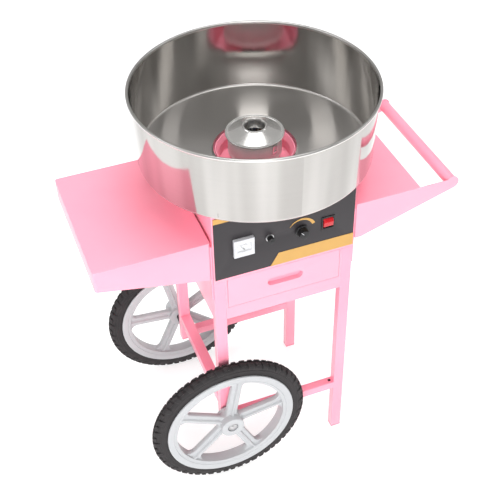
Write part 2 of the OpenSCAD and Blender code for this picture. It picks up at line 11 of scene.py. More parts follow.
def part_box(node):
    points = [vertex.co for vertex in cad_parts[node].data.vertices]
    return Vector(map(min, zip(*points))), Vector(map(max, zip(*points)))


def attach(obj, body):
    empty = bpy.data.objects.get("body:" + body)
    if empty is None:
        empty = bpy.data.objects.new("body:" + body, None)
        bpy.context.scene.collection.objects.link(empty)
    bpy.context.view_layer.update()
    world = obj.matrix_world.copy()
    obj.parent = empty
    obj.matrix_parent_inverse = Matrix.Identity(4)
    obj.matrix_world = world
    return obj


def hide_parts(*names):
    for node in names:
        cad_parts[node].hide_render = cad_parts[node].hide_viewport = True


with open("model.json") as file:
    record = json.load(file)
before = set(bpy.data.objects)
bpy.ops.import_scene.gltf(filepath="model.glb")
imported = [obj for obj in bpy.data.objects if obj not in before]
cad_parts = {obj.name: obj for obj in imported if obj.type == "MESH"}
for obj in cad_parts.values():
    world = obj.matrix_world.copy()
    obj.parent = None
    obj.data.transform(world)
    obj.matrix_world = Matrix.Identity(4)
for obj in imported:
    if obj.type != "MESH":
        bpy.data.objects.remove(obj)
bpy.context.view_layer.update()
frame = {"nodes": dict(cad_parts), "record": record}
record = frame["record"]
slot_of = {part["node"]: part["material_slot"] for part in record["subparts"]}
body_of = {node: body for body, members in record["behaviour"]["bodies"].items() for node in members}
joint_of = {joint["name"]: joint for joint in record["behaviour"]["joints"]}
MM = 0.001
STEEL_SIDES = 160  # facets round a turned part
WHEEL_SPOKES = 5
RIM_DEPTH = 34.4  # millimetres along the axle
TYRE_MIDDLE = RIM_DEPTH / 2
WINDOW_RADIUS = 133.0  # outer end of the windows between the spokes
HUB_RADIUS = 28
TREAD_LIMIT = 188.85  # no tread block reaches further from the axle
BEAD_RADIUS = 3.4  # the bowl's rolled edge
BOWL_FLARE = 11  # how much narrower the bowl is at its foot
STRAP_SCREW_HEIGHTS = (0.660, 0.700)
APRON_SCREW_X = (-0.128, 0.128)
APRON_SCREW_HEIGHTS = (0.515, 0.600)


# ---------- camera, lights and floor ----------

def aim(thing, yaw, pitch, roll, place):
    """Points a camera or a light: yaw turns from +Y towards +X, pitch looks down, all in degrees."""
    yaw, pitch, roll = (math.radians(angle) for angle in (yaw, pitch, roll))
    ahead = Vector((math.sin(yaw) * math.cos(pitch), math.cos(yaw) * math.cos(pitch), -math.sin(pitch)))
    level = Vector((math.cos(yaw), -math.sin(yaw), 0))
    up = level.cross(ahead)
    right = math.cos(roll) * level + math.sin(roll) * up
    up = math.cos(roll) * up - math.sin(roll) * level
    turn = Matrix((right, up, -ahead)).transposed().to_4x4()
    thing.matrix_world = Matrix.Translation(place) @ turn


def make_camera():
    data = bpy.data.cameras.new("camera")
    data.sensor_width = 36
    data.lens = 71.25
    camera = bpy.data.objects.new("camera", data)
    bpy.context.scene.collection.objects.link(camera)
    aim(camera, 20.44, 41.83, -1.16, (-0.6110, -1.5971, 2.0489))
    bpy.context.scene.camera = camera


def softbox(name, place, target, size, watts, mirrored=False):
    """A rectangular studio light at place that faces target; only a mirrored one shows in polished metal."""
    data = bpy.data.lights.new(name, "AREA")
    data.shape = "RECTANGLE"
    data.size, data.size_y = size
    data.energy = watts
    light = bpy.data.objects.new(name, data)
    light.visible_camera = False
    light.visible_glossy = mirrored
    bpy.context.scene.collection.objects.link(light)
    away = Vector(place) - Vector(target)
    light.matrix_world = Matrix.Translation(place) @ away.to_track_quat("Z", "Y").to_matrix().to_4x4()


def make_studio():
    world = bpy.data.worlds.new("studio")
    bpy.context.scene.world = world
    world.use_nodes = True
    background = world.node_tree.nodes["Background"]
    background.inputs["Color"].default_value = (1.0, 0.985, 0.97, 1)
    background.inputs["Strength"].default_value = 0.30
    softbox("front_softbox", (-1.4, -3.4, 1.5), (0, 0, 0.6), (1.9, 2.2), 128)
    softbox("top_softbox", (0.3, 0.4, 3.6), (0, 0, 0.8), (1.5, 2.4), 51)
    softbox("ceiling_fill", (0, 0, 4.4), (0, 0, 0), (6, 6), 40)
    softbox("right_strip", (3.2, -0.8, 1.6), (0, 0, 0.7), (0.8, 2.4), 34)
    softbox("left_strip", (-3.2, 0.4, 1.2), (0, 0, 0.4), (0.8, 2.0), 30)
    softbox("back_softbox", (1.4, 3.4, 1.6), (0, 0, 0.6), (1.9, 2.0), 34)
    softbox("front_card", (-1.15, -3.2, 2.5), (0, 0, 0.8), (1.7, 2.6), 36, True)
    softbox("left_card", (-2.9, 0.6, 2.9), (0, 0, 0.8), (1.6, 1.3), 13, True)
    softbox("right_card", (2.7, -0.4, 2.7), (0, 0, 0.8), (1.2, 1.2), 5, True)
    softbox("top_card", (0.1, 0.1, 3.4), (0, 0, 0.8), (1.8, 1.6), 17, True)
    bpy.context.scene.view_settings.view_transform = "Standard"


def make_floor():
    """A wide pale sweep of paper under the cart."""
    half, cells = 8.0, 16
    shape = bmesh.new()
    bmesh.ops.create_grid(shape, x_segments=cells, y_segments=cells, size=half)
    mesh = bpy.data.meshes.new("paper_floor")
    shape.to_mesh(mesh)
    shape.free()
    floor = bpy.data.objects.new("paper_floor", mesh)
    bpy.context.scene.collection.objects.link(floor)
    paper = Finish("white_paper", {"Emission Strength": 0.62, "Emission Color": (1, 1, 1, 1),
                                   "Specular IOR Level": 0.1})
    grain = paper.noise(30, 3)
    paper.wear({"Base Color": paper.mix(grain, (0.48, 0.48, 0.48, 1), (0.52, 0.52, 0.52, 1)),
                "Roughness": 0.85 + grain * 0.1})
    mesh.materials.append(paper.material)


# ---------- shader maths ----------

class Val:
    """One output socket that takes part in sums, products and powers."""

    def __init__(self, finish, socket):
        self.finish, self.socket = finish, socket

    def maths(self, operation, a, b):
        return self.finish.node("ShaderNodeMath", {"operation": operation}, {0: a, 1: b})

    def __add__(self, other):
        return self.maths("ADD", self, other)

    def __sub__(self, other):
        return self.maths("SUBTRACT", self, other)

    def __rsub__(self, other):
        return self.maths("SUBTRACT", other, self)

    def __mul__(self, other):
        return self.maths("MULTIPLY", self, other)

    def __pow__(self, other):
        return self.maths("POWER", self, other)

    __radd__, __rmul__ = __add__, __mul__

    def between(self, low, high):
        """0 below low, 1 above high, smooth in between."""
        return self.finish.node("ShaderNodeMapRange", {"interpolation_type": "SMOOTHSTEP"},
                                {"Value": self, "From Min": low, "From Max": high})


class Finish:
    """A procedural material: a Principled shader and the patterns that feed it."""

    def __init__(self, name, constants=None):
        self.material = bpy.data.materials.new(name)
        self.material.use_nodes = True
        self.tree = self.material.node_tree
        self.tree.nodes.clear()
        self.shader = self.tree.nodes.new("ShaderNodeBsdfPrincipled")
        output = self.tree.nodes.new("ShaderNodeOutputMaterial")
        self.tree.links.new(self.shader.outputs[0], output.inputs["Surface"])
        self.wear(constants or {})
        self.place = self.node("ShaderNodeTexCoord", out="Object")

    def feed(self, socket, value):
        if isinstance(value, Val):
            self.tree.links.new(value.socket, socket)
        else:
            socket.default_value = value

    def node(self, kind, settings=None, inputs=None, out=0):
        """Makes a node: its settings first, then the values or links of its sockets."""
        made = self.tree.nodes.new(kind)
        for name, value in (settings or {}).items():
            setattr(made, name, value)
        for key, value in (inputs or {}).items():
            self.feed(made.inputs[key], value)
        return Val(self, made.outputs[out])

    def wear(self, inputs):
        """Feeds the shader's own sockets."""
        for name, value in inputs.items():
            self.feed(self.shader.inputs[name], value)

    def mix(self, factor, a, b):
        """A colour between a and b."""
        return self.node("ShaderNodeMix", {"data_type": "RGBA"}, {0: factor, 6: a, 7: b}, out=2)

    def noise(self, scale, detail=2, at=None):
        return self.node("ShaderNodeTexNoise", None,
                         {"Vector": at or self.place, "Scale": scale, "Detail": detail}, out=0)

    def stretched(self, *scale):
        """The place on the piece, stretched along X, Y and Z."""
        return self.node("ShaderNodeMapping", None, {"Vector": self.place, "Scale": scale})

    def around(self, fine, long):
        """A place measured as radius, angle and height around Z: fine across the turning marks."""
        a, b, height = (self.node("ShaderNodeSeparateXYZ", None, {0: self.place}, out=i) for i in range(3))
        radius = (a * a + b * b) ** 0.5
        angle = self.node("ShaderNodeMath", {"operation": "ARCTAN2"}, {0: a, 1: b})
        return self.node("ShaderNodeCombineXYZ", None, {0: radius * fine, 1: angle * long, 2: height * fine})

    def edges(self, reach):
        """1 along outer and inner edges, 0 on flat stretches."""
        soft = self.node("ShaderNodeBevel", {"samples": 4}, {"Radius": reach})
        hard = self.node("ShaderNodeNewGeometry", out="Normal")
        same = self.node("ShaderNodeVectorMath", {"operation": "DOT_PRODUCT"}, {0: soft, 1: hard},
                         out="Value")
        return (1 - same).between(0.01, 0.22)

    def bump(self, height, strength, distance):
        made = self.node("ShaderNodeBump", None,
                         {"Strength": strength, "Distance": distance, "Height": height})
        self.feed(self.shader.inputs["Normal"], made)


# ---------- finishes ----------

def paint(name, colour, deep, pale):
    """Gloss powder coat: slow colour drift, fine orange peel, paler edges in patches: scuffed paint together
    with a painted edge highlight.
    """
    coat = Finish(name, {"IOR": 1.5, "Coat Roughness": 0.12})
    drift = coat.noise(5, 3).between(0.3, 0.7)
    cloud = coat.noise(48, 4)
    # Paler edges in patches: partly scuffed paint (less coat, rougher), partly a painted edge highlight.
    rubbed_edge_highlight = coat.edges(1.6 * MM) * coat.noise(70, 3).between(0.4, 0.62)
    body = coat.mix(drift, colour, deep)
    coat.wear({"Base Color": coat.mix(rubbed_edge_highlight * 0.55, body, pale),
               "Roughness": 0.30 + cloud * 0.12 + rubbed_edge_highlight * 0.12,
               "Coat Weight": 0.35 - rubbed_edge_highlight * 0.2})
    coat.bump(coat.noise(1100, 2) * 0.7 + cloud * 0.5, 0.10, 0.25 * MM)
    return coat.material


def turned_metal(name, colour, deep, rough, marks, metallic=1.0):
    """Polished metal with fine turning marks round Z, smudges, and edges painted brighter: a painted edge
    highlight with some wear.
    """
    metal = Finish(name, {"Metallic": metallic, "Anisotropic": 0.4})
    ring = metal.noise(1.0, 3, metal.around(marks, 1.2))
    wide = metal.noise(1.0, 2, metal.around(marks * 0.08, 0.9))
    smudge = metal.noise(9, 4).between(0.35, 0.75)
    # Edges painted brighter: a painted edge highlight, with some wear.
    edge_highlight_and_wear = metal.edges(1.0 * MM)
    body = metal.mix(ring * 0.5 + wide * 0.5, deep, colour)
    metal.wear({"Base Color": metal.mix(edge_highlight_and_wear * 0.4, body, (0.95, 0.94, 0.93, 1)),
                "Roughness": rough + ring * 0.06 + smudge * 0.05})
    metal.bump(ring, 0.05, 0.12 * MM)
    return metal.material


def bowl_sheet():
    """Spun stainless sheet: polished wall with faint upright stripes of painted reflection, satin floor also
    painted lighter as painted light, a painted highlight on the bead, brighter edges as a painted edge
    highlight with wear, turning marks, smudges.
    """
    steel = Finish("spun_stainless", {"Metallic": 1.0, "Anisotropic": 0.3})
    height = steel.node("ShaderNodeSeparateXYZ", None, {0: steel.place}, out=2)
    low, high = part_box("bowl")
    # The floor is rougher for its satin finish, and it is also painted lighter: painted light on the face
    # turned up to the lamps.
    floor = 1 - height.between(low.z + 3 * MM, low.z + 9 * MM)
    # The rolled bead is rougher, and it is painted lighter: a painted highlight along the rim.
    bead = height.between(high.z - 7.2 * MM, high.z - 5.6 * MM)
    ring = steel.noise(1.0, 3, steel.around(900, 1.2))
    # Painted reflection: broad upright light and dark stripes in the wall's colour.
    painted_reflection_bands = steel.noise(1.0, 2, steel.around(0.8, 3.2)).between(0.36, 0.62)
    wave = steel.noise(1.0, 1, steel.around(1.5, 7))
    smudge = steel.noise(9, 4).between(0.4, 0.75)
    # Edges painted brighter: a painted edge highlight, with some wear.
    edge_highlight_and_wear = steel.edges(1.0 * MM)
    # Wall colour between the dark and light stripes of painted reflection; the turning marks add a little
    # real tone.
    body = steel.mix(painted_reflection_bands * 0.75 + ring * 0.25, (0.42, 0.408, 0.392, 1), (0.58, 0.567, 0.55, 1))
    # Painted light: the floor's colour is lighter than the wall's.
    body = steel.mix(floor, body, (0.70, 0.68, 0.66, 1))
    # Painted highlight: the bead's colour is lighter than the wall's.
    body = steel.mix(bead, body, (0.82, 0.81, 0.79, 1))
    steel.wear({"Base Color": steel.mix(edge_highlight_and_wear * 0.4, body, (0.90, 0.89, 0.87, 1)),
                "Roughness": 0.05 + ring * 0.05 + smudge * 0.05 + floor * 0.28 + bead * 0.2})
    steel.bump(ring * 0.003 + wave * 0.4, 1.0, MM)
    return steel.material


def plated_steel(name, colour, rough):
    """Zinc-plated or bright sheet steel with a drawn grain and a faint spangle."""
    metal = Finish(name, {"Metallic": 1.0})
    grain = metal.noise(1.0, 3, metal.stretched(60, 60, 900))
    spangle = metal.node("ShaderNodeTexVoronoi", None, {"Vector": metal.place, "Scale": 160}, out="Distance")
    # Edges painted paler: a painted edge highlight, with some wear.
    edge_highlight_and_wear = metal.edges(0.8 * MM)
    deep = tuple(c * 0.72 for c in colour[:3]) + (1,)
    metal.wear({"Base Color": metal.mix(edge_highlight_and_wear * 0.4, metal.mix(spangle, colour, deep), (0.9, 0.9, 0.9, 1)),
                "Roughness": rough + grain * 0.16})
    metal.bump(grain, 0.06, 0.1 * MM)
    return metal.material


def moulded(name, colour, rough, texture=1400, sheen=None, coat=0.0):
    """Moulded plastic or rubber: fine surface grain, soft mottling, and paler edges in patches: handling wear
    together with a painted edge highlight in the sheen colour.
    """
    plastic = Finish(name, {"IOR": 1.46, "Coat Roughness": 0.15})
    grain = plastic.noise(texture, 2)
    mottle = plastic.noise(40, 4)
    # Paler edges in patches: partly handling wear (a little glossier), partly a painted edge highlight in the
    # sheen colour.
    edge_highlight_and_wear = plastic.edges(0.9 * MM) * plastic.noise(120, 2).between(0.35, 0.6)
    light = sheen or tuple(min(1.0, c * 1.25 + 0.03) for c in colour[:3]) + (1,)
    deep = tuple(c * 0.88 for c in colour[:3]) + (1,)
    plastic.wear({"Base Color": plastic.mix(edge_highlight_and_wear * 0.6, plastic.mix(mottle, deep, colour), light),
                  "Roughness": rough + mottle * 0.12 - edge_highlight_and_wear * 0.08,
                  "Coat Weight": coat * (1 - mottle * 0.3)})
    plastic.bump(grain * 0.6 + mottle * 0.4, 0.12, 0.2 * MM)
    return plastic.material


def tyre_rubber():
    """Black rubber, dusty in its grooves, and greyer along its edges: a painted edge highlight together with
    wear.
    """
    rubber = Finish("tyre_rubber", {"IOR": 1.5, "Specular IOR Level": 0.35})
    dust = rubber.noise(55, 5).between(0.42, 0.72)
    grain = rubber.noise(1500, 2)
    # Edges painted greyer: a painted edge highlight, with some wear.
    edge_highlight_and_wear = rubber.edges(1.2 * MM)
    body = rubber.mix(dust * 0.5, (0.017, 0.015, 0.016, 1), (0.050, 0.045, 0.046, 1))
    rubber.wear({"Base Color": rubber.mix(edge_highlight_and_wear * 0.35, body, (0.10, 0.095, 0.095, 1)),
                 "Roughness": 0.50 + dust * 0.22})
    rubber.bump(grain * 0.5 + dust * 0.5, 0.2, 0.25 * MM)
    return rubber.material


def clear_cover():
    """Thin clear acrylic over the dial."""
    cover = Finish("clear_acrylic", {"IOR": 1.49, "Alpha": 0.14})
    haze = cover.noise(150, 3)
    cover.wear({"Base Color": cover.mix(haze, (0.96, 0.98, 0.98, 1), (1, 1, 1, 1)),
                "Roughness": 0.02 + haze.between(0.55, 0.8) * 0.08})
    return cover.material


def heat_tinted():
    """Heater ribbon, tinted brown and blue by heat."""
    ribbon = Finish("heater_ribbon", {"Metallic": 1.0})
    tint = ribbon.noise(45, 3).between(0.3, 0.7)
    ribbon.wear({"Base Color": ribbon.mix(tint, (0.30, 0.19, 0.13, 1), (0.22, 0.24, 0.32, 1)),
                 "Roughness": 0.38 + tint * 0.2})
    ribbon.bump(ribbon.noise(500, 3), 0.15, 0.2 * MM)
    return ribbon.material


def make_finishes():
    """One finish for each material slot of the record."""
    # Edge colour for black parts: a painted edge highlight together with wear.
    black_edge_sheen_and_wear = (0.14, 0.14, 0.145, 1)
    return {
        "pink_sheet": paint("pink_sheet_paint", (0.95, 0.335, 0.435, 1), (0.93, 0.31, 0.41, 1),
                            (0.97, 0.56, 0.63, 1)),
        "pink_tube": paint("pink_tube_paint", (0.94, 0.325, 0.43, 1), (0.92, 0.295, 0.40, 1),
                           (0.97, 0.54, 0.62, 1)),
        "pink_plastic": moulded("pink_plug_plastic", (0.88, 0.30, 0.39, 1), 0.42),
        "stainless": bowl_sheet(),
        "polished_aluminium": turned_metal("turned_aluminium", (0.90, 0.89, 0.87, 1), (0.78, 0.77, 0.75, 1),
                                           0.14, 1600, 0.85),
        "bright_steel": plated_steel("zinc_plate", (0.66, 0.66, 0.67, 1), 0.24),
        "black_screw": plated_steel("black_oxide", (0.05, 0.05, 0.055, 1), 0.30),
        "panel_grey": moulded("panel_film_grey", (0.027, 0.024, 0.027, 1), 0.42, 2200),
        "amber_film": moulded("amber_ink", (0.53, 0.305, 0.085, 1), 0.42, 2200),
        "white_plastic": moulded("meter_white", (0.56, 0.57, 0.60, 1), 0.28, 1800, coat=0.3),
        "black_plastic": moulded("black_moulding", (0.012, 0.012, 0.013, 1), 0.34, 1500, black_edge_sheen_and_wear),
        "red_plastic": moulded("red_rocker", (0.46, 0.004, 0.010, 1), 0.22, 1600, (0.85, 0.10, 0.08, 1), 0.5),
        "clear_cover": clear_cover(),
        "wheel_plastic": moulded("wheel_silver_grey", (0.45, 0.46, 0.475, 1), 0.36, 900,
                                 (0.66, 0.67, 0.68, 1)),
        "tyre": tyre_rubber(),
        "rubber": moulded("soft_black_rubber", (0.022, 0.021, 0.021, 1), 0.55, 700),
        "brass": turned_metal("slip_ring_brass", (0.80, 0.56, 0.22, 1), (0.62, 0.42, 0.16, 1), 0.2, 1200),
        "ceramic": moulded("white_ceramic", (0.78, 0.75, 0.70, 1), 0.55, 600),
        "heater_alloy": heat_tinted(),
        "motor_iron": moulded("motor_enamel", (0.035, 0.040, 0.050, 1), 0.32, 500, (0.12, 0.12, 0.13, 1)),
        "board_green": moulded("circuit_board", (0.015, 0.12, 0.05, 1), 0.30, 1000,
                               (0.25, 0.36, 0.16, 1), 0.4),
    }


# ---------- mesh helpers ----------

def new_piece(name, mesh):
    piece = bpy.data.objects.new(name, mesh)
    bpy.context.scene.collection.objects.link(piece)
    return piece


def mesh_from(name, points, faces, merge=0.004 * MM, smooth=math.radians(32)):
    """A closed mesh of points and faces in metres, outward normals, smooth but for its sharp edges."""
    mesh = bpy.data.meshes.new(name)
    mesh.from_pydata([Vector(p) for p in points], [], faces)
    shape = bmesh.new()
    shape.from_mesh(mesh)
    bmesh.ops.remove_doubles(shape, verts=shape.verts, dist=merge)
    bmesh.ops.dissolve_degenerate(shape, edges=shape.edges, dist=merge)
    bmesh.ops.recalc_face_normals(shape, faces=shape.faces)
    shape.to_mesh(mesh)
    shape.free()
    shade(mesh, smooth)
    return mesh


def shade(mesh, smooth):
    """Smooth shading with sharp edges above an angle."""
    mesh.polygons.foreach_set("use_smooth", [True] * len(mesh.polygons))
    mesh.set_sharp_from_angle(angle=smooth)


def rounded(points, steps=5):
    """Rounds the corners of a closed outline: each point is (x, y) or (x, y, radius)."""
    result = []
    count = len(points)
    for i, point in enumerate(points):
        here = Vector(point[:2])
        radius = point[2] if len(point) > 2 else 0
        before = Vector(points[i - 1][:2]) - here
        after = Vector(points[(i + 1) % count][:2]) - here
        if not radius or before.length < 1e-9 or after.length < 1e-9:
            result.append(tuple(here))
            continue
        half = before.angle(after) / 2
        run = radius / math.tan(half)
        middle = here + (before.normalized() + after.normalized()).normalized() * (radius / math.sin(half))
        start = here + before.normalized() * run - middle
        end = here + after.normalized() * run - middle
        sweep = start.angle_signed(end)
        for k in range(steps + 1):
            turn = -sweep * k / steps
            result.append((middle.x + start.x * math.cos(turn) - start.y * math.sin(turn),
                           middle.y + start.x * math.sin(turn) + start.y * math.cos(turn)))
    return result


def lathe(name, outline, sides, place=None):
    """A closed outline of (radius, height), in metres, turned around Z, then moved by the matrix place."""
    points, faces = [], []
    count = len(outline)
    for i in range(sides):
        turn = 2 * math.pi * i / sides
        points += [(r * math.cos(turn), r * math.sin(turn), h) for r, h in outline]
    for i in range(sides):
        for k in range(count):
            a, b = i * count + k, i * count + (k + 1) % count
            c, d = (b + count) % (sides * count), (a + count) % (sides * count)
            faces.append((a, b, c, d))
    mesh = mesh_from(name, points, faces)
    if place:
        mesh.transform(place)
    return new_piece(name, mesh)


def from_mm(outline):
    return [(point[0] * MM, point[1] * MM) + tuple(r * MM for r in point[2:]) for point in outline]


def softened(node, name, width, outer=None, steps=3):
    """A merged copy of a CAD node with rounded edges; outer is the radius of those on the node's own box."""
    shape = bmesh.new()
    shape.from_mesh(frame["nodes"][node].data)
    bmesh.ops.remove_doubles(shape, verts=shape.verts, dist=0.01 * MM)
    bmesh.ops.dissolve_limit(shape, angle_limit=math.radians(0.3), verts=shape.verts, edges=shape.edges)
    low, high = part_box(node)
    weight = shape.edges.layers.float.new("bevel_weight_edge")
    sharp = [e for e in shape.edges if e.is_manifold and e.calc_face_angle(0) > math.radians(28)]
    widest = max(width, outer or 0)
    for edge in sharp:
        on_box = sum(all(min(abs(v.co[i] - low[i]), abs(v.co[i] - high[i])) < 0.02 * MM for v in edge.verts)
                     for i in range(3)) >= 2
        edge[weight] = (outer if outer and on_box and edge.is_convex else width) / widest
    mesh = bpy.data.meshes.new(name)
    shape.to_mesh(mesh)
    shape.free()
    piece = new_piece(name, mesh)
    bevel = piece.modifiers.new("rounded_edges", "BEVEL")
    bevel.limit_method = "WEIGHT"
    bevel.width = widest * MM
    bevel.segments = steps
    bevel.use_clamp_overlap = True
    bake_modifiers(piece)
    shade(piece.data, math.radians(24))
    return piece


def bake_modifiers(piece):
    """Turns the evaluated piece into its own plain mesh and drops the modifiers."""
    graph = bpy.context.evaluated_depsgraph_get()
    graph.update()
    mesh = bpy.data.meshes.new_from_object(piece.evaluated_get(graph))
    old = piece.data
    piece.modifiers.clear()
    piece.data = mesh
    mesh.name = piece.name
    bpy.data.meshes.remove(old)


def settle(piece, finish, nodes=(), body=None, slot=None):
    """Gives a piece its finish (its slot's finish when none is given) and its body, and lets it stand for CAD
    nodes.
    """
    slot = slot or slot_of[nodes[0]]
    piece.data.materials.clear()
    piece.data.materials.append(finish or finishes[slot])
    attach(piece, body or body_of[nodes[0]])
    if nodes:
        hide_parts(*nodes)
    return piece


# ---------- geometry nodes ----------

def node_group(name, inputs):
    """An empty geometry node tree with its named inputs: (name, socket type, default)."""
    tree = bpy.data.node_groups.new(name, "GeometryNodeTree")
    tree.interface.new_socket("Geometry", in_out="INPUT", socket_type="NodeSocketGeometry")
    for label, kind, default in inputs:
        socket = tree.interface.new_socket(label, in_out="INPUT", socket_type=kind)
        if default is not None:
            socket.default_value = default
    tree.interface.new_socket("Geometry", in_out="OUTPUT", socket_type="NodeSocketGeometry")
    return tree


def wire(tree, kind, settings=None, inputs=None):
    """Adds a node to a geometry tree; inputs are values or (node, output) pairs."""
    made = tree.nodes.new(kind)
    for name, value in (settings or {}).items():
        setattr(made, name, value)
    for key, value in (inputs or {}).items():
        if isinstance(value, tuple) and isinstance(value[0], bpy.types.Node):
            tree.links.new(value[0].outputs[value[1]], made.inputs[key])
        else:
            made.inputs[key].default_value = value
    return made


def finish_tree(tree, given, instances):
    """Ends a tree in Realize Instances and Set Material."""
    real = wire(tree, "GeometryNodeRealizeInstances", None, {0: (instances, 0)})
    dressed = wire(tree, "GeometryNodeSetMaterial", None, {0: (real, 0), "Material": (given, "Material")})
    wire(tree, "NodeGroupOutput", None, {0: (dressed, 0)})
    return tree


def ring_tree():
    """Repeats a unit around an axis: unit, count, first angle, step, axis, centre, jitter and seed."""
    tree = node_group("repeat_around_axis", [
        ("Unit", "NodeSocketObject", None), ("Count", "NodeSocketInt", 12),
        ("First angle", "NodeSocketFloat", 0.0), ("Step", "NodeSocketFloat", 0.5),
        ("Axis", "NodeSocketVector", (0, 0, 1)), ("Centre", "NodeSocketVector", (0, 0, 0)),
        ("Jitter", "NodeSocketFloat", 0.0), ("Seed", "NodeSocketInt", 1),
        ("Material", "NodeSocketMaterial", None)])
    given = wire(tree, "NodeGroupInput")
    line = wire(tree, "GeometryNodeMeshLine", None,
                {"Count": (given, "Count"), "Start Location": (given, "Centre"), "Offset": (0, 0, 0)})
    unit = wire(tree, "GeometryNodeObjectInfo", None, {"Object": (given, "Unit")})
    index = wire(tree, "GeometryNodeInputIndex")
    stepped = wire(tree, "ShaderNodeMath", {"operation": "MULTIPLY_ADD"},
                   {0: (index, 0), 1: (given, "Step"), 2: (given, "First angle")})
    shake = wire(tree, "FunctionNodeRandomValue", {"data_type": "FLOAT"}, {"Seed": (given, "Seed")})
    centred = wire(tree, "ShaderNodeMath", {"operation": "SUBTRACT"}, {0: (shake, 1), 1: 0.5})
    angle = wire(tree, "ShaderNodeMath", {"operation": "MULTIPLY_ADD"},
                 {0: (centred, 0), 1: (given, "Jitter"), 2: (stepped, 0)})
    turn = wire(tree, "FunctionNodeAxisAngleToRotation", None, {"Axis": (given, "Axis"), "Angle": (angle, 0)})
    copies = wire(tree, "GeometryNodeInstanceOnPoints", None,
                  {"Points": (line, 0), "Instance": (unit, "Geometry"), "Rotation": (turn, 0)})
    return finish_tree(tree, given, copies)


def spots_tree():
    """Sets a unit on every vertex of the carrier mesh, its Z along the vertex's own "aim" vector."""
    tree = node_group("units_on_spots", [
        ("Unit", "NodeSocketObject", None), ("Size", "NodeSocketFloat", 1.0),
        ("Turn", "NodeSocketFloat", 6.28), ("Seed", "NodeSocketInt", 1),
        ("Material", "NodeSocketMaterial", None)])
    given = wire(tree, "NodeGroupInput")
    unit = wire(tree, "GeometryNodeObjectInfo", None, {"Object": (given, "Unit")})
    aimed = wire(tree, "GeometryNodeInputNamedAttribute", {"data_type": "FLOAT_VECTOR"}, {"Name": "aim"})
    upright = wire(tree, "FunctionNodeAlignRotationToVector", {"axis": "Z"}, {"Vector": (aimed, 0)})
    random = wire(tree, "FunctionNodeRandomValue", {"data_type": "FLOAT"}, {"Seed": (given, "Seed")})
    swing = wire(tree, "ShaderNodeMath", {"operation": "MULTIPLY"}, {0: (random, 1), 1: (given, "Turn")})
    spin = wire(tree, "FunctionNodeAxisAngleToRotation", None, {"Axis": (0, 0, 1), "Angle": (swing, 0)})
    both = wire(tree, "FunctionNodeRotateRotation", {"rotation_space": "LOCAL"},
                {"Rotation": (upright, 0), "Rotate By": (spin, 0)})
    copies = wire(tree, "GeometryNodeInstanceOnPoints", None,
                  {"Points": (given, 0), "Instance": (unit, "Geometry"), "Rotation": (both, 0),
                   "Scale": (given, "Size")})
    return finish_tree(tree, given, copies)


def grow(name, carrier, tree, values):
    """Runs a tree on a carrier mesh and returns the plain piece; values are the tree's named inputs."""
    piece = new_piece(name, carrier)
    modifier = piece.modifiers.new("grow", "NODES")
    modifier.node_group = tree
    for item in tree.interface.items_tree:
        if item.in_out == "INPUT" and item.name in values:
            modifier[item.identifier] = values[item.name]
    bake_modifiers(piece)
    shade(piece.data, math.radians(32))
    return piece


def carrier(name, spots):
    """A mesh of loose vertices at (place, aim) pairs, in metres."""
    mesh = bpy.data.meshes.new(name)
    mesh.from_pydata([place for place, _ in spots], [], [])
    aims = mesh.attributes.new("aim", "FLOAT_VECTOR", "POINT")
    aims.data.foreach_set("vector", [c for _, aim_at in spots for c in aim_at])
    return mesh


def on_spots(name, unit, spots, finish):
    """Units on spots; the unit object is used up."""
    piece = grow(name, carrier(name, spots), trees["spots"], {"Unit": unit, "Material": finish, "Seed": 4})
    bpy.data.objects.remove(unit)
    return piece


def around_axis(name, unit, count, first, step, axis, centre, finish, jitter=0.0):
    """Units repeated around an axis through centre; the unit object is used up."""
    piece = grow(name, bpy.data.meshes.new(name), trees["ring"],
                 {"Unit": unit, "Count": count, "First angle": first, "Step": step, "Axis": axis,
                  "Centre": centre, "Jitter": jitter, "Seed": 7, "Material": finish})
    bpy.data.objects.remove(unit)
    return piece


# ---------- the bowl and the spinner head ----------

def bowl_steel():
    """The spun bowl: rolled bead, flared wall, soft floor corner and dished floor lip."""
    low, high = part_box("bowl")
    outer, top, foot = high.x / MM, high.z / MM, low.z / MM
    bead, wall, hole, corner = BEAD_RADIUS, 1.2, 88.0, 7.0
    foot_r, top_r = outer - BOWL_FLARE, outer - 2 * bead + 0.3
    roll = [(outer - bead + bead * math.cos(math.radians(a)), top - bead + bead * math.sin(math.radians(a)))
            for a in range(-120, 181, 20)]
    outline = rounded([(hole, foot), (foot_r, foot, corner), (top_r + wall, top - bead * 1.9)]) + roll
    outline += rounded([(top_r, top - 2 * bead), (foot_r - wall - 0.3, foot + wall + 0.4, corner - wall),
                        (hole + 3.2, foot + wall, 2.0), (hole + 1.5, foot + 6, 0.4), (hole, foot + 6, 0.4)])
    bowl = lathe("steel_bowl", from_mm(outline), STEEL_SIDES * 2)
    return settle(bowl, None, ["bowl"])


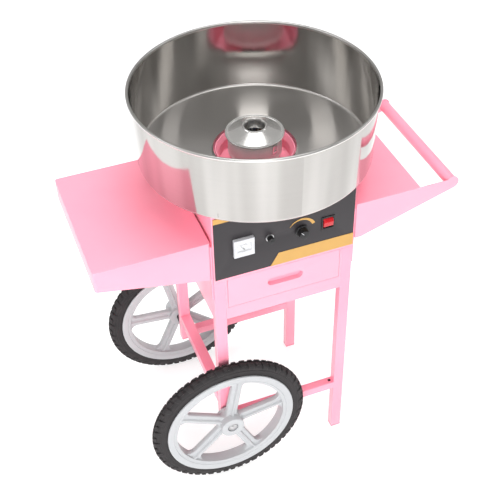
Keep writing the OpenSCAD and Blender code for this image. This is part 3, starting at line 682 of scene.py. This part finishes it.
def bowl_seam():
    """The upright weld in the wall, towards the front left: a slim raised bead on the outside."""
    low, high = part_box("bowl")
    steps, half_width, proud = 24, 1.1 * MM, 0.45 * MM
    turn = math.radians(-128)
    out = Vector((math.cos(turn), math.sin(turn), 0))
    side = Vector((-math.sin(turn), math.cos(turn), 0))
    points, faces = [], []
    foot, top = low.z + 9 * MM, high.z - 9 * MM
    for i in range(steps + 1):
        share = i / steps
        height = foot + (top - foot) * share
        widening = (BOWL_FLARE - 2 * BEAD_RADIUS + 1.5) * MM
        radius = high.x - BOWL_FLARE * MM + widening * (height - low.z) / (high.z - low.z)
        for across, lift in ((-1, -0.5), (-0.5, 0.6), (0.5, 0.6), (1, -0.5), (0, -1.1)):
            points.append(out * (radius - 0.25 * MM + proud * lift) + side * half_width * across
                          + Vector((0, 0, height)))
    for i in range(steps):
        for k in range(5):
            a, b = i * 5 + k, i * 5 + (k + 1) % 5
            faces.append((a, b, b + 5, a + 5))
    faces += [tuple(range(5)), tuple(steps * 5 + k for k in range(5))]
    seam = new_piece("bowl_weld_seam", mesh_from("bowl_weld_seam", points, faces))
    weld = turned_metal("weld_bead", (0.34, 0.33, 0.32, 1), (0.22, 0.21, 0.20, 1), 0.34, 700)
    return settle(seam, weld, body="bowl", slot="stainless")


def spinner_cap():
    """Spun cap: flat rim, straight cone, rolled mouth and the funnel below it."""
    low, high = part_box("spinner_cap")
    rim, top, base = high.x / MM, high.z / MM, low.z / MM
    mouth = 24.5
    outline = [(rim, top - 17.4), (rim, top - 15.6, 0.5), (rim - 0.6, top - 15.1, 0.4),
               (rim - 5.6, top - 15.0, 0.5), (rim - 6.3, top - 15.9, 0.5), (mouth + 2.2, top - 1.6, 1.2),
               (mouth + 0.9, top - 0.1, 0.7), (mouth - 1.2, top, 0.8), (mouth - 2.3, top - 2.6, 1.2),
               (mouth - 2.3, base), (mouth - 0.9, base),
               (mouth - 0.6, top - 4.4, 1.5), (rim - 5, top - 17.0, 1.5), (rim - 3, top - 17.4)]
    cap = lathe("spinner_cap_cone", from_mm(rounded(outline, 4)), STEEL_SIDES)
    return settle(cap, None, ["spinner_cap"])


def spinner_pan():
    """Turned pan under the cap: soft upper edge, a groove round the wall and a boss in the middle."""
    low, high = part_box("spinner_pan")
    wall, top, base = high.x / MM, high.z / MM, low.z / MM
    outline = [(5.0, base), (wall - 3, base), (wall, base + 3, 2.5), (wall, base + 9),
               (wall - 0.7, base + 10.2),
               (wall, base + 11.4), (wall, top - 1.2, 0.5), (wall - 0.7, top, 0.3), (wall - 2, top),
               (wall - 2, base + 4, 2.0), (15.4, base + 4, 1.2), (13, base + 26.4, 2.2), (5.0, base + 27)]
    pan = lathe("spinner_pan_wall", from_mm(rounded(outline, 4)), STEEL_SIDES)
    bright = turned_metal("machined_pan", (0.90, 0.89, 0.87, 1), (0.80, 0.79, 0.77, 1), 0.40, 1100, 0.25)
    return settle(pan, bright, ["spinner_pan"])


def spinner_well():
    """Painted well: a collar with a thin lip and a sloping inner wall, and a floor with a raised ring."""
    low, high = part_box("spinner_well")
    top, base, flange = high.z / MM, low.z / MM, high.x / MM
    outline = [(22, base), (78, base, 1.5), (78, top - 12, 0.2), (flange, top - 12),
               (flange, top - 10.5, 0.5), (84.5, top - 10.5, 1.0), (84.5, top, 0.4), (83.1, top, 0.3),
               (76.5, top - 13, 2.0), (76.5, base + 1.5, 2.2),
               (34, base + 1.5, 1.2), (32, base + 3.2, 0.8), (22, base + 3.2, 0.5)]
    well = lathe("well_wall", from_mm(rounded(outline, 4)), STEEL_SIDES)
    return settle(well, None, ["spinner_well"])


# ---------- wheels ----------

def spoke_share(radius):
    """Half the angle that a spoke fills at a radius, in degrees; the window's corners are round."""
    half, window = 180 / WHEEL_SPOKES, WINDOW_RADIUS
    inner_fillet, outer_fillet, spoke_half = 10.0, 16.0, 12.5
    inner = (spoke_half + inner_fillet) / math.sin(math.radians(half))
    apex = inner - inner_fillet
    inner_touch = math.hypot(spoke_half, inner * math.cos(math.radians(half)))
    reach = window - outer_fillet
    lean = math.asin((spoke_half + outer_fillet) / reach)
    outer_touch = math.hypot(spoke_half, reach * math.cos(lean))
    if radius <= apex:
        return half
    if radius < inner_touch:
        turn = (radius ** 2 + inner ** 2 - inner_fillet ** 2) / (2 * radius * inner)
        return half - math.degrees(math.acos(min(1, turn)))
    if radius <= outer_touch:
        return math.degrees(math.asin(spoke_half / radius))
    turn = (radius ** 2 + reach ** 2 - outer_fillet ** 2) / (2 * radius * reach)
    return math.degrees(lean) - math.degrees(math.acos(min(1, turn)))


def hump(distance, flat, foot):
    """1 up to flat, 0 beyond foot, smooth in between."""
    share = min(1, max(0, (foot - abs(distance)) / (foot - flat)))
    return share * share * (3 - 2 * share)


def moulded_rim(name, first_spoke, place):
    """A five-spoke moulded rim: its outer face at y = 0, its depth along +Y, millimetres about the axle."""
    deep, window, web_front, web_back = RIM_DEPTH, WINDOW_RADIUS, 9.0, 24.0
    sector = 360 / WHEEL_SPOKES
    across = [-1, -0.97, -0.9, -0.78, -0.5, -0.36, -0.27, -0.18, -0.09]
    across = across + [0] + [-u for u in reversed(across)]
    hub = HUB_RADIUS
    rows = [hub, 28.28, 28.5, 29.3, 30.5, 32, 33.5, 40, 52, 66, 80, 94, 106, 114.2, 118, 122, 126,
            129, 131, 132.3, window]
    spare = 10
    points, faces, index = [], [], {}

    def point(radius, angle, depth):
        key = (round(radius, 3), round(angle % 360, 3), round(depth, 3))
        if key not in index:
            index[key] = len(points)
            turn = math.radians(angle)
            points.append((radius * math.cos(turn) * MM, depth * MM, radius * math.sin(turn) * MM))
        return index[key]

    def height(radius, u, face):
        """Depth of the spoke's surface: rounded sides, a thin middle rib, and a blend into hub and rim."""
        half = spoke_share(radius)
        off = abs(math.sin(math.radians(half * u))) * radius
        rib = 5.2 * hump(off, 1.5, 3.6) * min(1, max(0, (137 - radius) / 3))
        side = math.sin(math.radians(half)) * radius - off if 28.3 < radius < window else 20
        drop = 1.6 * (1 - min(1, max(0, side) / 1.8)) ** 2 + 0.05 * min(off, 12.5)
        blend = hump(max(0, radius - hub), 0, 5) * 2.5
        return web_front + drop - rib - blend if face < 0 else web_back - drop + rib * 0.8 + blend

    def columns(radius, spoke):
        return [spoke * sector + first_spoke + spoke_share(radius) * u for u in across]

    def full_ring(radius, depth):
        """One ring of points with the angles of the row where the windows end."""
        ring = []
        for spoke in range(WHEEL_SPOKES):
            edge = spoke_share(window)
            start = spoke * sector + first_spoke
            angles = [start + edge * u for u in across]
            gap = sector - 2 * edge
            angles += [start + edge + gap * (k + 1) / (spare + 1) for k in range(spare)]
            ring += [point(radius, angle, depth) for angle in angles]
        return ring

    def hub_ring(radius, depth):
        return [point(radius, angle, depth) for spoke in range(WHEEL_SPOKES)
                for angle in columns(hub, spoke)[:-1]]

    def band(a, b):
        for k in range(len(a)):
            m = (k + 1) % len(a)
            faces.append((a[k], a[m], b[m], b[k]))

    walls = {}
    for face in (-1, 1):
        for spoke in range(WHEEL_SPOKES):
            strip = []
            for radius in rows:
                depths = [height(radius, u, face) for u in across]
                if radius == window:
                    depths = [4.0 if face < 0 else deep - 4.0] * len(across)
                strip.append([point(radius, angle, d) for angle, d in zip(columns(radius, spoke), depths)])
            for low, high in zip(strip, strip[1:]):
                for k in range(len(across) - 1):
                    faces.append((low[k], low[k + 1], high[k + 1], high[k]))
            walls[face, spoke] = strip
    start = rows.index(28.28)
    for spoke in range(WHEEL_SPOKES):
        for side in (0, -1):
            front = [row[side] for row in walls[-1, spoke][start:]]
            back = [row[side] for row in walls[1, spoke][start:]]
            for k in range(len(front) - 1):
                faces.append((front[k], front[k + 1], back[k + 1], back[k]))
    rim = rounded([(window, 4.0), (139, 1.9, 1.5), (140.6, 3.2, 0.7), (142.2, 1.2, 0.7), (152, 0, 2),
                   (156.6, 0, 1.2), (156.6, 4.2, 0.5), (150.6, 7, 1),
                   (150.6, deep - 7, 1), (156.6, deep - 4.2, 0.5),
                   (156.6, deep, 1.2), (152, deep, 2), (142.2, deep - 1.2, 0.7), (140.6, deep - 3.2, 0.7),
                   (139, deep - 1.9, 1.5), (window, deep - 4.0)], 3)
    rings = [full_ring(*station) for station in rim]
    for a, b in zip(rings, rings[1:]):
        band(a, b)
    per_spoke = len(across) + spare
    for spoke in range(WHEEL_SPOKES):
        first = spoke * per_spoke + len(across) - 1
        for k in range(first, first + spare + 1):
            m = (k + 1) % (WHEEL_SPOKES * per_spoke)
            faces.append((rings[0][k], rings[0][m], rings[-1][m], rings[-1][k]))
    boss = rounded([(hub, web_front), (hub, -9, 0.4), (hub - 1.4, -11, 1.2), (13.4, -11, 0.6),
                    (12.5, -10, 0.3), (12.5, -2, 0.5), (6.05, -2, 0.3), (6.05, deep),
                    (hub, deep, 1.0), (hub, web_back)], 3)
    inner_front, inner_back = ([walls[face, spoke][0][k] for spoke in range(WHEEL_SPOKES)
                                for k in range(len(across) - 1)] for face in (-1, 1))
    stations = [inner_front] + [hub_ring(*station) for station in boss[1:-1]] + [inner_back]
    for a, b in zip(stations, stations[1:]):
        band(a, b)
    mesh = mesh_from(name, points, faces, 0.01 * MM, math.radians(38))
    mesh.transform(place)
    return new_piece(name, mesh)


def tyre_casing(name, place):
    """Casing: bead, a smooth sidewall with moulded rings, a shoulder step and a shallow crown."""
    mid, top = TYRE_MIDDLE, 186.2
    half = [(150.8, 7.9), (157.2, 4.6, 0.6), (158.4, 4.9, 0.4), (159.2, 4.25, 0.4), (164, 4.25, 1.0),
            (164.6, 4.8, 0.3), (165.2, 4.25, 0.3), (171.5, 4.3, 1.5), (172.3, 5.3, 0.5), (177.4, 5.6, 3),
            (182.9, 9.0, 3), (top, 14.5, 6)]
    outline = rounded(half + [(r, 2 * mid - a) + tuple(rest) for r, a, *rest in reversed(half)], 3)
    turn_to_y = Matrix.Rotation(math.radians(-90), 4, "X")
    return lathe(name, from_mm(outline), STEEL_SIDES, place @ turn_to_y)


def tread_block(name, near, far, width, taper, place, lean=0.0):
    """A knob that wraps the tyre's shoulder, from the crown at far down to the sidewall at near."""
    mid, depth = TYRE_MIDDLE, 6.0
    path = [(174.4, 4.4), (179.6, 4.6), (184.8, 6.8), (187.6, 10.4), (188.7, 14.0)]
    path = [p for p in path if near <= p[1] <= far + 0.01]
    points, faces = [], []
    sections = ((-1, 0.86), (-0.82, 1.0), (0.82, 1.0), (1, 0.86))
    for i, (radius, axial) in enumerate(path):
        share = 1 - taper * (len(path) - 1 - i) / len(path)
        out = Vector((radius - 168, axial - mid)).normalized() * depth
        for u, lift in sections:
            swing = u * width / 2 * share / radius + lean * (axial - 4.5) / 100
            for level in (0.25, lift):
                r, a = radius - out.x * (1 - level), axial - out.y * (1 - level)
                r = min(r, TREAD_LIMIT)
                points.append((r * math.cos(swing) * MM, a * MM, r * math.sin(swing) * MM))
    ring = len(sections) * 2
    order = [0, 2, 4, 6, 7, 5, 3, 1]
    for i in range(len(path) - 1):
        for k in range(ring):
            a, b = i * ring + order[k], i * ring + order[(k + 1) % ring]
            faces.append((a, b, b + ring, a + ring))
    faces += [tuple(order), tuple((len(path) - 1) * ring + k for k in reversed(order))]
    mesh = mesh_from(name, points, faces)
    mesh.transform(place)
    return new_piece(name, mesh)


def tread(name, centre, turned, finish):
    """Long and short shoulder knobs on both sides, and slim blocks along the crown."""
    pairs, parts = 30, []
    step = 2 * math.pi / pairs
    flip = Matrix.Rotation(math.pi, 4, "Z") if turned else Matrix.Identity(4)
    mirror = Matrix.Translation((0, RIM_DEPTH * MM, 0)) @ Matrix.Scale(-1, 4, (0, 1, 0))
    for side, place in enumerate((Matrix.Identity(4), mirror)):
        for kind, (near, width, phase) in enumerate(((4.4, 15.4, 0.0), (6.0, 13.6, 0.5))):
            unit = tread_block(f"{name}_unit", near, 14.0, width, 0.25, flip @ place, 0.2)
            unit.data.materials.append(finish)
            bpy.context.view_layer.update()
            parts.append(around_axis(f"{name}_{side}_{kind}", unit, pairs, (phase + 0.5 * side) * step, step,
                                     (0, 1, 0), centre, finish, 0.01))
    for kind, shift in enumerate((-1, 1)):
        block = Vector((188.4 * MM, (TYRE_MIDDLE + shift * 2.0) * MM, 0))
        unit = bevelled_block(f"{name}_unit", (5 * MM, 2.6 * MM, 7.4 * MM), 0.5 * MM,
                              flip @ Matrix.Translation(block - Vector((2.5 * MM, 0, 0))))
        unit.data.materials.append(finish)
        parts.append(around_axis(f"{name}_crown_{kind}", unit, pairs * 2, shift * step / 8, step / 2,
                                 (0, 1, 0), centre, finish))
    return join(parts, name)


def bevelled_block(name, size, radius, place):
    """A block with rounded edges about its middle, moved by place."""
    shape = bmesh.new()
    bmesh.ops.create_cube(shape, size=1, matrix=Matrix.Diagonal((*size, 1)))
    bmesh.ops.bevel(shape, geom=shape.edges[:], offset=radius, segments=2, profile=0.5, affect="EDGES")
    shape.transform(place)
    bmesh.ops.recalc_face_normals(shape, faces=shape.faces)
    mesh = bpy.data.meshes.new(name)
    shape.to_mesh(mesh)
    shape.free()
    return new_piece(name, mesh)


def join(parts, name):
    """Joins pieces that already have their place in their meshes."""
    shape = bmesh.new()
    for part in parts:
        shape.from_mesh(part.data)
        bpy.data.objects.remove(part)
    bmesh.ops.recalc_face_normals(shape, faces=shape.faces)
    mesh = bpy.data.meshes.new(name)
    shape.to_mesh(mesh)
    shape.free()
    shade(mesh, math.radians(30))
    return new_piece(name, mesh)


def make_wheels():
    """Both wheels; the rear one is the front one turned round. The last number is the first spoke's angle."""
    for side, turned, first in (("front", False, 8), ("rear", True, 6)):
        pivot = Vector(joint_of[f"{side}_wheel_turn"]["pos_m"])
        flip = Matrix.Rotation(math.pi, 4, "Z") if turned else Matrix.Identity(4)
        place = Matrix.Translation(pivot) @ flip
        rim = moulded_rim(f"{side}_wheel_rim", first, place)
        settle(rim, None, [f"{side}_rim"])
        casing = tyre_casing(f"{side}_tyre_casing", place)
        settle(casing, None, [f"{side}_tyre"])
        blocks = tread(f"{side}_tyre_tread", pivot, turned, finishes["tyre"])
        settle(blocks, None, body=f"{side}_wheel", slot="tyre")


# ---------- fasteners ----------

def button_head(name, radius, height, socket, place=None):
    """A domed screw head with a hexagon socket, its seat at z = 0 and its crown along +Z."""
    sides = 24
    dome = [(radius, 0.0), (radius, height * 0.18)]
    dome += [(radius * math.cos(t), height * (0.18 + 0.82 * math.sin(t))) for t in (0.35, 0.7, 1.05)]
    points = [(0, 0, 0)]
    faces, rings = [], []
    for r, h in dome:
        rings.append([len(points) + k for k in range(sides)])
        points += [(r * math.cos(2 * math.pi * k / sides), r * math.sin(2 * math.pi * k / sides), h)
                   for k in range(sides)]
    for h in (dome[-1][1], dome[-1][1] - height * 0.55):
        rings.append([len(points) + k for k in range(sides)])
        for k in range(sides):
            t = 2 * math.pi * k / sides
            r = socket * math.cos(math.pi / 6) / math.cos((t % (math.pi / 3)) - math.pi / 6)
            points.append((r * math.cos(t), r * math.sin(t), h))
    points.append((0, 0, dome[-1][1] - height * 0.55))
    for a, b in zip(rings, rings[1:]):
        faces += [(a[k], a[(k + 1) % sides], b[(k + 1) % sides], b[k]) for k in range(sides)]
    faces += [(0, rings[0][(k + 1) % sides], rings[0][k]) for k in range(sides)]
    faces += [(len(points) - 1, rings[-1][k], rings[-1][(k + 1) % sides]) for k in range(sides)]
    return new_piece(name, mesh_from(name, points, faces))


def make_screws():
    """Button-head screws: tray straps, crossbars and rear apron in black; the well's in bright steel."""
    cart = {name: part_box(name) for name in ("tray_straps", "front_crossbar", "rear_crossbar", "rear_apron",
                                            "post_front_left", "post_rear_left")}
    straps_low, straps_high = cart["tray_straps"]
    front_y = cart["post_front_left"][0].y + 11 * MM
    rear_y = cart["post_rear_left"][0].y + 9 * MM
    spots = []
    for y in (front_y, rear_y):
        for z in STRAP_SCREW_HEIGHTS:
            spots += [((straps_low.x - 2 * MM, y, z), (-1, 0, 0)),
                      ((straps_high.x + 2 * MM, y, z), (1, 0, 0))]
    for bar in ("front_crossbar", "rear_crossbar"):
        low, high = cart[bar]
        spots += [((x, (low.y + high.y) / 2, high.z), (0, 0, 1))
                  for x in (low.x + 8 * MM, high.x - 8 * MM)]
    back = cart["rear_apron"][1].y
    spots += [((x, back, z), (0, 1, 0)) for x in APRON_SCREW_X for z in APRON_SCREW_HEIGHTS]
    heads = on_spots("cart_screw_heads", button_head("unit", 3.6 * MM, 2.0 * MM, 1.4 * MM), spots,
                     finishes["black_screw"])
    settle(heads, None, ["cart_screws"])
    low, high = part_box("well_screws")
    reach, floor = 66 * MM, low.z + 1.4 * MM
    corners = [math.radians(25 + 90 * k) for k in range(4)]
    spots = [((reach * math.cos(t), reach * math.sin(t), floor), (0, 0, 1)) for t in corners]
    heads = on_spots("well_screw_heads", button_head("unit", 3.5 * MM, 2.2 * MM, 1.3 * MM), spots,
                     finishes["bright_steel"])
    settle(heads, None, ["well_screws"])


# ---------- the voltmeter's dial and the knob's mark ----------

def arc_band(name, centre, inner, outer, sweep, depth, steps=24):
    """A flat band around centre in X and Z, sweep degrees each side of straight up, depth thick along -Y."""
    points, faces = [], []
    for i in range(steps + 1):
        turn = math.radians(sweep) * (2 * i / steps - 1)
        for radius, lift in ((inner, 0), (outer, 0), (outer, -depth), (inner, -depth)):
            points.append(centre + Vector((radius * math.sin(turn), lift, radius * math.cos(turn))))
    for i in range(steps):
        for k in range(4):
            a, b = i * 4 + k, i * 4 + (k + 1) % 4
            faces.append((a, b, b + 4, a + 4))
    faces += [(0, 1, 2, 3), tuple(steps * 4 + k for k in range(4))]
    return new_piece(name, mesh_from(name, points, faces))


def meter_face():
    """White dial plate with a scale arc and its ticks, and two small screws in the case's face."""
    low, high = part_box("voltmeter_window")
    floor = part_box("control_panel")[0].y - 3.0 * MM
    plate = 1.6 * MM
    middle = Vector(((low.x + high.x) / 2, floor - plate / 2, (low.z + high.z) / 2))
    size = (high.x - low.x - 0.4 * MM, plate, high.z - low.z - 0.4 * MM)
    dial = bevelled_block("meter_dial_plate", size, 0.15 * MM, Matrix.Translation(middle))
    settle(dial, None, body="cart", slot="white_plastic")
    pivot = Vector(joint_of["needle_swing"]["pos_m"])
    pivot.y = floor - plate
    ink, ticks, sweep = finishes["black_plastic"], 13, 36
    unit = bevelled_block("unit", (0.45 * MM, 0.12 * MM, 2.2 * MM), 0.03 * MM,
                          Matrix.Translation((0, 0, 12.6 * MM)))
    unit.data.materials.append(ink)
    bpy.context.view_layer.update()
    marks = around_axis("scale_ticks", unit, ticks, math.radians(-sweep),
                        math.radians(2 * sweep / (ticks - 1)), (0, 1, 0), pivot, ink)
    scale = join([marks, arc_band("scale_arc", pivot, 11.0 * MM, 11.6 * MM, sweep, 0.06 * MM)], "meter_scale")
    settle(scale, None, body="cart", slot="black_plastic")
    case_low, case_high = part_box("voltmeter_case")
    inset = 3.3 * MM
    spots = [((x, case_low.y, middle.z - 1.5 * MM), (0, -1, 0))
             for x in (case_low.x + inset, case_high.x - inset)]
    heads = on_spots("meter_face_screws", button_head("unit", 1.5 * MM, 0.6 * MM, 0.6 * MM), spots,
                     finishes["bright_steel"])
    settle(heads, None, body="cart", slot="bright_steel")


def knob_mark():
    """White paint in the groove of the knob's face."""
    low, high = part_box("control_knob")
    middle = Vector(((low.x + high.x) / 2, low.y + 0.5 * MM, (low.z + high.z) / 2))
    turn = Matrix.Rotation(math.radians(-40), 4, "Y")
    place = Matrix.Translation(middle) @ turn @ Matrix.Translation((0, 0, 6.5 * MM))
    mark = bevelled_block("knob_pointer_mark", (1.3 * MM, 0.7 * MM, 8.6 * MM), 0.15 * MM, place)
    settle(mark, None, body="knob", slot="white_plastic")


# ---------- sheet metal, tubes and controls ----------

SOFTENED = {
    # node: (edge radius in millimetres, radius of the edges on the node's own box)
    "post_front_left": (0.4, 2.0), "post_front_right": (0.4, 2.0), "post_rear_left": (0.4, 2.0),
    "post_rear_right": (0.4, 2.0), "post_plugs": (0.6, None), "front_crossbar": (0.4, 1.6),
    "rear_crossbar": (0.4, 1.6), "axle_beam": (0.4, 1.8), "front_apron": (0.5, None),
    "rear_apron": (0.5, None), "left_apron": (0.5, None), "right_apron": (0.5, None),
    "deck_plate": (0.6, None), "drawer_runners": (0.4, None), "left_tray": (0.5, 1.2),
    "right_tray": (0.5, None), "tray_straps": (0.7, None), "drawer_front": (0.5, 0.9),
    "drawer_box": (0.35, None), "housing_shell": (0.35, 1.1), "housing_top": (0.5, None),
    "control_panel": (0.25, None), "voltmeter_case": (0.8, 1.4), "rocker_bezel": (0.4, None),
    "rocker_button": (0.7, None), "fuse_cap": (0.45, None), "fuse_holder": (0.4, None),
    "spinner_clip": (0.25, None), "cable_gland": (0.4, None), "axle_nuts": (0.5, None),
    "handle_bar": (0.4, None), "control_knob": (0.3, None), "bowl_pads": (0.8, None),
}


def make_softened():
    for node, (width, outer) in SOFTENED.items():
        piece = softened(node, f"{node}_rounded", width, outer)
        settle(piece, None, [node])


def dress_frame():
    """Every CAD node that is still shown gets its slot's finish."""
    for node, thing in frame["nodes"].items():
        thing.data.materials.clear()
        thing.data.materials.append(finishes[slot_of[node]])


# ---------- the scene ----------

make_camera()
make_studio()
make_floor()
finishes = make_finishes()
trees = {"ring": ring_tree(), "spots": spots_tree()}
dress_frame()
bowl_steel()
bowl_seam()
spinner_cap()
spinner_pan()
spinner_well()
make_wheels()
make_screws()
make_softened()
meter_face()
knob_mark()
